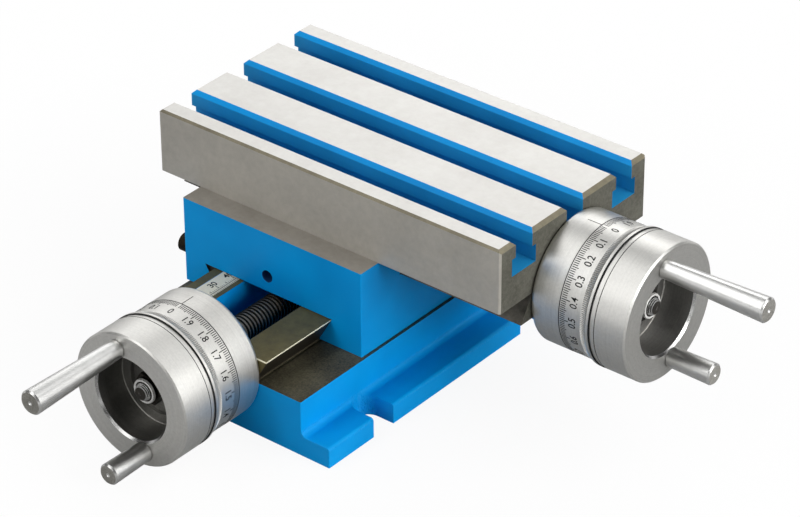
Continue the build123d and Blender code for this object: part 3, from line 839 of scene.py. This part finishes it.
def band(name, inner, outer, low, high):
    """A plain ring with a square section."""
    outline = [(inner, low), (outer, low), (outer, high), (inner, high), (inner, low)]
    return spun(name, outline, steps=160)


zero_turn = {"x": 92.0, "y": 91.5}
flare_start, flare_bend = 11.4, 4.604


def flare(height):
    """The dial's radius at a height on its flare, a round cove."""
    return dial_radius + flare_bend - math.sqrt(flare_bend ** 2 - max(0.0, height - flare_start) ** 2)


def to_zero(axis):
    """The turn that brings a drive's top to the zero, where the index line is."""
    return Matrix.Rotation(math.radians(zero_turn[axis] - 90), 4, "Z")


flare_heights = [11.0, 11.6, 12.2, 12.8, 13.3, 13.8, 14.2]
sunk = [(z, flare(z) - 0.03) for z in flare_heights]
ground_outline = [(28, 11.0)] + [(flare(z) + 0.02, z) for z in flare_heights] + [(28, 14.2)]
for a, place in drives.items():
    zero = place @ to_zero(a)
    lines = [ring_bars(200, 5, 0.35, 2.5), ring_bars(40, 2, 0.36, 3.2), ring_bars(20, only_first, 0.4, 4.2)]
    marks = put(f"{a}_dial_lines", lines, zero, f"{a}_dial", "black_steel", [deep_black])
    figures = []
    for number in range(20):
        words = "0" if number == 0 else f"{number / 10:.1f}"
        flat = text_mesh(words, figure_size, weight=0.00003 if "4" in words else 0.00006)
        for vertex in flat.vertices:
            vertex.co.x *= figure_width
        turn = math.pi / 2 + math.radians(18) * number
        figures.append(wrapped(flat, dial_radius * mm, turn, figure_middle * mm))
    put(f"{a}_dial_figures", figures, zero, f"{a}_dial", "black_steel", [deep_black])
    knurl = grown(copies_tree, "knurl", {
        "Shape": ridge(sunk, 0.5, 0.26), "Copies": 220, "Material": aluminium[a]})
    ground = spun("ground", ground_outline)
    ground.materials.append(knurl_shade)
    knurl = put(f"{a}_dial_knurl", [knurl, ground], place, f"{a}_dial", "satin_aluminium",
                [aluminium[a], knurl_shade], sharp_angle=10)
    ridge_faces = len(knurl.data.polygons) - len(ground.polygons)
    for face in knurl.data.polygons:
        face.material_index = 0 if face.index < ridge_faces else 1
    print(a, "dial: lines", len(marks.data.polygons) // 6, "knurl faces", len(knurl.data.polygons))

# %% [markdown]
# Two gaps part the dial from its neighbours. They are too narrow and deep for light to reach the
# bottom, so a dark ring lies in each. A thin dark ring also lies at the step at the wheel's inner end.

# %% Dark joints
# The body that each ring rides on, and its inner and outer radius and two heights.
joints = {"joint": ("dial", 28.0, dial_radius + 0.02, 0.0, 0.42), "gap": ("screw", 28.0, 30.92, 15.7, 16.4),
          "line": ("screw", 30.0, 30.87, 18.66, 18.84)}
for a, place in drives.items():
    for label, (body, *section) in joints.items():
        put(f"{a}_dial_{label}", [band(label, *section)], place, f"{a}_{body}", "black_steel", [deep_black])
print("joints:", len(drives) * len(joints))

# %% [markdown]
# The nut's collar has a rounded rim, painted near white as a painted highlight, and the last turns of
# the spindle's thread show inside it, their crests painted bright as painted highlights. The corner
# at the cup's floor was broken with a tool, which left a bright ring.

# %% Nut rim and spindle end
rim_outline = [(4.25, 25.0), (5.66, 25.0), (5.7, 25.6), (5.5, 26.05), (5.1, 26.25), (4.7, 26.15),
               (4.35, 25.8), (4.25, 25.0)]
# Heights of the spindle end's crest bands that get polished steel: painted highlights.
crest_highlight_bands = [(26.05, 26.5), (26.9, 27.3), (27.55, 27.85)]
end_outline = [(0, 25.9), (3.4, 25.9), (3.4, 26.0), (3.95, 26.1), (3.95, 26.35), (3.4, 26.6), (3.4, 26.8),
               (3.75, 26.95), (3.75, 27.15), (3.1, 27.35), (3.1, 27.5), (3.35, 27.6), (3.35, 27.75),
               (2.85, 27.9), (2.8, 28.04), (0.95, 28.04), (0.7, 27.7), (0, 27.4)]
corner_outline = [(18.8, 18.38), (19.12, 18.38), (19.12, 18.72), (18.8, 18.42), (18.8, 18.38)]


def turned(axis, label, outline, slot, finishes, sharp_angle=35):
    name = f"{axis}_{label}"
    piece = finished(name, spun(name, outline, drives[axis]), finishes, sharp_angle)
    return seat(piece, f"{axis}_screw", slot)


for a, place in drives.items():
    # The nut's rim takes the near-white steel, a painted highlight.
    turned(a, "nut_rim", rim_outline, "bright_steel", [rim_painted_highlight], sharp_angle=50)
    turned(a, "cup_corner", corner_outline, "satin_aluminium", [faced_steel])
    end = turned(a, "spindle_end", end_outline, "bright_steel", [thread_steel, steel[a]], sharp_angle=50)
    for face in end.data.polygons:
        radius, height = (v / mm for v in from_axis(place, face.center))
        # Crest bands and the ring round the centre hole get polished steel, a painted highlight; the rest
        # stays dark.
        on_crest = radius > 3 and any(low < height < high for low, high in crest_highlight_bands)
        face.material_index = 1 if on_crest or 0.7 < radius < 0.97 else 0
print("nut rims, cup corners and spindle ends:", 3 * len(drives))

# %% [markdown]
# The housing carries the index line that the dial is read against.

# %% Index lines
line_width, line_height, line_length, line_radius = 0.36 * mm, 0.06 * mm, 6.9 * mm, 29.8 * mm
for a, place in drives.items():
    line = bmesh.new()
    bmesh.ops.create_cube(line, size=1.0)
    size = Matrix.Diagonal((line_width, line_height, line_length, 1))
    shift = Matrix.Translation((0, line_radius, -line_length / 2))
    bmesh.ops.transform(line, matrix=place @ to_zero(a) @ shift @ size, verts=line.verts)
    piece = finished(f"{a}_index_line", mesh_from(line, f"{a}_index_line"), [black_ink])
    seat(piece, "table" if a == "x" else "base", "black_steel")
print("index lines: 2")

# %% [markdown]
# ## Leadscrews
#
# The solids are plain bars, because threads are for the looks. A thread is a ridge swept along a
# spiral, so the node tree draws a spiral curve and sweeps a trapezium along it. The Y screw is
# left-handed and the X screw right-handed: turned clockwise, each moves its slide away from the hand
# that turns it.

# %% Thread tree
thread_tree, given, out = new_tree("thread", [
    ("Root Radius", FLOAT), ("Crest Radius", FLOAT), ("Pitch", FLOAT), ("Turns", FLOAT),
    ("Left Handed", "NodeSocketBool"), ("Material", MATERIAL)])
rise = maths(thread_tree, "SUBTRACT", given["Crest Radius"], given["Root Radius"])
middle_radius = maths(thread_tree, "ADD", given["Root Radius"], maths(thread_tree, "MULTIPLY", rise, 0.5))
spiral = add(thread_tree, "GeometryNodeCurveSpiral", Resolution=30, Rotations=given["Turns"],
             Start_Radius=middle_radius, End_Radius=middle_radius, Reverse=given["Left Handed"],
             Height=maths(thread_tree, "MULTIPLY", given["Pitch"], given["Turns"]))
upright = add(thread_tree, "GeometryNodeSetCurveNormal", {"mode": "Z_UP"}, Curve=spiral.outputs[0])
profile = add(thread_tree, "GeometryNodeCurvePrimitiveQuadrilateral", {"mode": "TRAPEZOID"}, Height=rise,
              Bottom_Width=maths(thread_tree, "MULTIPLY", given["Pitch"], 0.74),
              Top_Width=maths(thread_tree, "MULTIPLY", given["Pitch"], 0.34), Offset=0.0)
swept = add(thread_tree, "GeometryNodeCurveToMesh", Curve=upright.outputs[0],
            Profile_Curve=profile.outputs[0], Fill_Caps=True)
finish_tree(thread_tree, swept.outputs[0], given["Material"], out)
print("thread tree nodes:", len(thread_tree.nodes))

# %% [markdown]
# The leadscrew's own mesh is copied and its threaded length is thinned to the root, then the ridge
# goes on. The threaded length is found from the copy: it is where the bar is at its full radius.

# %% Threaded leadscrews
crest, root, pitch = 6.0 * mm, 4.85 * mm, 2.0 * mm
# Past this height the bar goes through the wheel's nut, where it is thinned to fit inside the rim.
nut_start, thinned = 20 * mm, 0.68


def narrow(vertex, factor):
    vertex.co.x *= factor
    vertex.co.y *= factor


def threaded(axis, place, left_handed):
    work = welded(f"{axis}_leadscrew")
    bmesh.ops.transform(work, matrix=place.inverted(), verts=work.verts)
    full = [v for v in work.verts if math.hypot(v.co.x, v.co.y) > crest - 0.05 * mm]
    low = min(v.co.z for v in full)
    high = max(v.co.z for v in full)
    for vertex in full:
        narrow(vertex, root / math.hypot(vertex.co.x, vertex.co.y))
    for vertex in work.verts:
        if vertex.co.z > nut_start:
            narrow(vertex, thinned)
    core = mesh_from(work, "core")
    turns = math.floor((high - low) / pitch - 0.8)
    ridge = grown(thread_tree, "ridge", {
        "Root Radius": root - 0.05 * mm, "Crest Radius": crest, "Pitch": pitch,
        "Turns": float(turns), "Left Handed": left_handed, "Material": black_steel})
    for vertex in ridge.vertices:
        vertex.co.z += low + 0.6 * pitch
    return joined(f"{axis}_leadscrew_threaded", [core, ridge], place), turns


for a, place in drives.items():
    mesh, turns = threaded(a, place, a == "y")
    piece = finished(f"{a}_leadscrew_threaded", mesh, [thread_steel, crest_highlight_steel], sharp_angle=88)
    # Faces near the crest take the light steel, a painted highlight.
    for face in mesh.polygons:
        face.material_index = 1 if from_axis(place, face.center)[0] > crest - 0.12 * mm else 0
    seat(piece, f"{a}_screw", "black_steel", f"{a}_leadscrew")
    print(a, "thread turns:", turns, "faces:", len(mesh.polygons))

# %% [markdown]
# ## Scale strip
#
# A thin ruler lies on the left rail, with its marks on the right-hand side and a figure every
# ten millimetres. Its zero lies just behind the base's front and has no mark of its own.

# %% Scale marks
strip_low, strip_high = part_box("y_scale_strip")
strip_top = strip_high.z
scale_zero = base_low.y + 1.2 * mm
figure_line = strip_low.x + 3.3 * mm
# How many marks, which to leave out, and their spacing and length in millimetres.
rows = [(60, 5, 1.0, 2.0), (13, 2, 5.0, 2.9), (7, only_first, 10.0, 4.0)]
marks = [grown(row_tree, "row", {
    "Bars": count, "Leave Out Every": skip, "Spacing": spacing * mm, "Bar Width": 0.34 * mm,
    "Bar Length": length * mm, "Bar Height": 0.04 * mm, "Material": black_ink})
    for count, skip, spacing, length in rows]
edge_of_marks = Matrix.Translation((strip_high.x - 0.3 * mm, scale_zero, strip_top))
marks = put("y_scale_marks", marks, edge_of_marks, "base", "black_steel", [black_ink])
figures = []
for tens in range(1, 7):
    flat = text_mesh(str(tens * 10), 4.4 * mm, weight=0.00008)
    for vertex in flat.vertices:
        right, up, out_of = vertex.co
        vertex.co = (figure_line - up, scale_zero + tens * 10 * mm + right, strip_top + out_of)
    figures.append(flat)
put("y_scale_figures", figures, Matrix.Identity(4), "base", "black_steel", [black_ink])
print("scale marks:", len(marks.data.polygons) // 6)

# %% [markdown]
# ## The other parts
#
# The rest of the frame's pieces already have the right shape, so they keep their meshes and only get
# a finish of their own.

# %% Finishes for the other parts
plain = {"y_scale_strip": strip_metal, "y_scale_pins": plain_steel}
for a in drives:
    finishes = {
        "bearing_housing": aluminium[a], "dial_ring": aluminium[a], "thrust_washers": steel[a],
        "wheel_nut": black_metal[a], "wheel_washer": black_metal[a], "wheel_key": plain_steel,
        "dial_spring": plain_steel, "bearing_bush": bronze, "feed_nut": bronze, "gib": hidden_iron,
        "housing_screws": black_steel, "feed_nut_screws": black_steel, "gib_screws": black_steel,
        "gib_nuts": black_steel}
    plain.update({f"{a}_{label}": material for label, material in finishes.items()})
for node, material in plain.items():
    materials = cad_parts[node].data.materials
    materials.clear()
    materials.append(material)
copied = ("_casting", "_handwheel", "_handle", "_leadscrew")
left_over = [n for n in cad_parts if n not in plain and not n.endswith(copied)]
print("nodes without a finish:", left_over)

# %% [markdown]
# ## Studio
#
# A plain white sheet, and twelve soft boxes in three rings round the object. The strongest stands low
# on the right, where the photo has its main light. What the camera and the metal see of the sheet is
# lifted towards white, more so further out; it still takes the soft shadow.

# %% Floor and room


def make_floor():
    work = bmesh.new()
    bmesh.ops.create_grid(work, x_segments=1, y_segments=1, size=6.0)
    floor = shown("floor", mesh_from(work, "floor"))
    material, tree, shader = new_material("white_sheet", roughness=0.95, specular=0.1)
    light = tree.nodes.new("ShaderNodeLightPath").outputs
    seen = light["Is Camera Ray"]
    mirrored = maths(tree, "MAXIMUM", light["Is Glossy Ray"], light["Is Transmission Ray"])
    tree.links.new(mapped(tree, seen, 0.38, 0.97), shader.inputs["Base Color"])
    spot = add(tree, "ShaderNodeTexCoord").outputs["Object"]
    away = add(tree, "ShaderNodeVectorMath", {"operation": "LENGTH"}, i0=spot).outputs["Value"]
    in_mirror = mapped(tree, away, 0.02, 0.97, start=0.4, end=0.9)
    in_view = mapped(tree, away, 0.91, 0.99, start=0.12, end=0.26)
    share = maths(tree, "ADD", maths(tree, "MULTIPLY", seen, in_view),
                  maths(tree, "MULTIPLY", mirrored, in_mirror))
    glow = add(tree, "ShaderNodeEmission", Color=(1, 1, 1, 1), Strength=1.0)
    mixed = add(tree, "ShaderNodeMixShader", Fac=share, i1=shader.outputs[0], i2=glow.outputs[0])
    tree.links.new(mixed.outputs[0], tree.nodes["Material Output"].inputs["Surface"])
    floor.data.materials.append(material)


def make_room():
    """A dark room with a white band along the floor, which polished metal mirrors."""
    world = bpy.data.worlds.new("room")
    scene.world = world
    world.use_nodes = True
    tree = world.node_tree
    where = add(tree, "ShaderNodeTexCoord")
    up = add(tree, "ShaderNodeSeparateXYZ", Vector=where.outputs["Generated"]).outputs[2]
    background = tree.nodes["Background"].inputs
    background["Color"].default_value = (1, 1, 1, 1)
    tree.links.new(mapped(tree, up, 1.0, 0.02, start=0.1, end=0.2), background["Strength"])


def soft_box(turn, height, power):
    """A soft light 1.45 m from the object, turned from +X round the vertical and raised from the bench."""
    turn, height = math.radians(turn), math.radians(height)
    away = Vector((math.cos(turn) * math.cos(height), math.sin(turn) * math.cos(height), math.sin(height)))
    lamp = bpy.data.lights.new("soft_box", "AREA")
    lamp.size = 0.7
    lamp.energy = power
    holder = shown("soft_box", lamp)
    holder.location = Vector((0.02, 0, 0.05)) + 1.45 * away
    holder.rotation_euler = away.to_track_quat("Z", "Y").to_euler()


make_floor()
make_room()
# Each ring has one height. A box is given by its turn, its height in degrees and its power in watts.
low_boxes = [(0, 18, 13.4), (-90, 18, 3.2), (135, 18, 2.2), (22, 18, 1.4)]
middle_boxes = [(22, 36, 3.0), (112, 36, 2.7), (135, 36, 1.7), (-112, 36, 3.7)]
high_boxes = [(45, 58, 2.6), (90, 58, 1.0), (180, 58, 2.4), (-135, 58, 2.7)]
boxes = low_boxes + middle_boxes + high_boxes
for settings in boxes:
    soft_box(*settings)
print("lights:", len(boxes))

# %% [markdown]
# ## Camera
#
# The photograph was taken with a long lens from the front right, about 32 degrees above the bench.

# %% Camera
azimuth, elevation, roll = math.radians(39.317), math.radians(32.087), math.radians(-0.351)
focal_pixels, distance = 3511.8, 1.5912
target = Vector((-0.01517, 0.04152, 0.00026))
sensor, picture_width = 36, 800
shift_right, shift_up = 2.84, -0.29
level = math.cos(elevation)
back = Vector((math.sin(azimuth) * level, -math.cos(azimuth) * level, math.sin(elevation)))
right = Vector((0, 0, 1)).cross(back).normalized()
up = back.cross(right)
turned_right = math.cos(roll) * right + math.sin(roll) * up
turned_up = math.cos(roll) * up - math.sin(roll) * right
lens = bpy.data.cameras.new("camera")
lens.sensor_fit = "HORIZONTAL"
lens.sensor_width = sensor
lens.lens = focal_pixels * sensor / picture_width
lens.shift_x, lens.shift_y = shift_right / picture_width, shift_up / picture_width
lens.clip_start, lens.clip_end = 0.05, 50
camera = shown("camera", lens)
camera.matrix_world = Matrix.Translation(target + back * distance) @ Matrix(
    (turned_right, turned_up, back)).transposed().to_4x4()
scene.camera = camera
scene.view_settings.view_transform = "Standard"
print("lens", round(lens.lens, 1), "mm")
